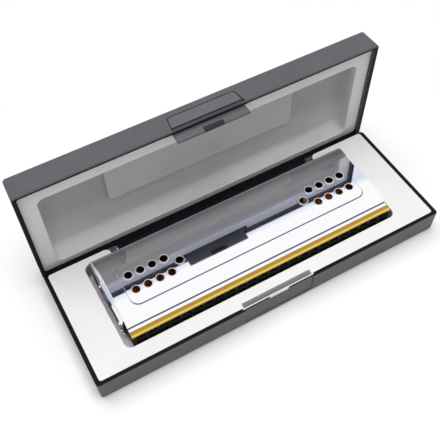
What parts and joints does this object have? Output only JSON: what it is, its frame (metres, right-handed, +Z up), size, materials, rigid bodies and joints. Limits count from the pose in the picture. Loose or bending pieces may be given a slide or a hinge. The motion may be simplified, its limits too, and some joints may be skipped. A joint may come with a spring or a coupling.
{
  "type": "harmonica case",
  "caption": "Hinged plastic case with a push latch, flocked liners and a recess holding a tremolo harmonica with chromed covers, brass reed plates and a black comb.",
  "frame": {"origin": "centre of the base's underside", "axes": "+X along the case to the right as the latch faces the user, -Y towards the latch, +Y towards the hinge, +Z up"},
  "size_m": [0.22, 0.0932, 0.0871],
  "materials": {
    "shell": "fine satin texture",
    "latch_plastic": "fine satin texture",
    "base_flock": "short flock",
    "lid_flock": "short flock",
    "pin_steel": "drawn wire",
    "spring_steel": "rolled strip",
    "comb_plastic": "moulded",
    "plate_brass": "rolled sheet",
    "reed_brass": "milled strip",
    "cover_chrome": "polished",
    "nail_steel": "bright"
  },
  "bodies": {
    "case": {"base_shell": "shell", "base_tray": "base_flock", "hinge_pins": "pin_steel"},
    "lid": {"lid_shell": "shell", "lid_liner": "lid_flock", "latch_pin": "pin_steel", "latch_spring": "spring_steel"},
    "latch": {"latch_button": "latch_plastic"},
    "harmonica": {"comb": "comb_plastic", "upper_reed_plate": "plate_brass", "lower_reed_plate": "plate_brass", "upper_reeds": "reed_brass", "lower_reeds": "reed_brass", "upper_cover": "cover_chrome", "lower_cover": "cover_chrome", "plate_nails": "nail_steel", "cover_nails": "nail_steel"}
  },
  "joints": [
    {"name": "lid_hinge", "type": "hinge", "parent": "case", "child": "lid", "pos_m": [0, 0.0364, 0.0124], "axis": [-1, 0, 0], "range_deg": [-88.3, 0]},
    {"name": "latch_press", "type": "hinge", "parent": "lid", "child": "latch", "pos_m": [0, 0.0487, 0.08345], "axis": [1, 0, 0], "range_deg": [0, 3.6], "stiffness_Nm_per_rad": 0.4, "springref_deg": -2.86, "deforming": ["latch_spring"]},
    {"name": "harmonica_lift", "type": "slide", "parent": "case", "child": "harmonica", "axis": [0, 0, 1], "range_m": [0, 0.06]}
  ]
}
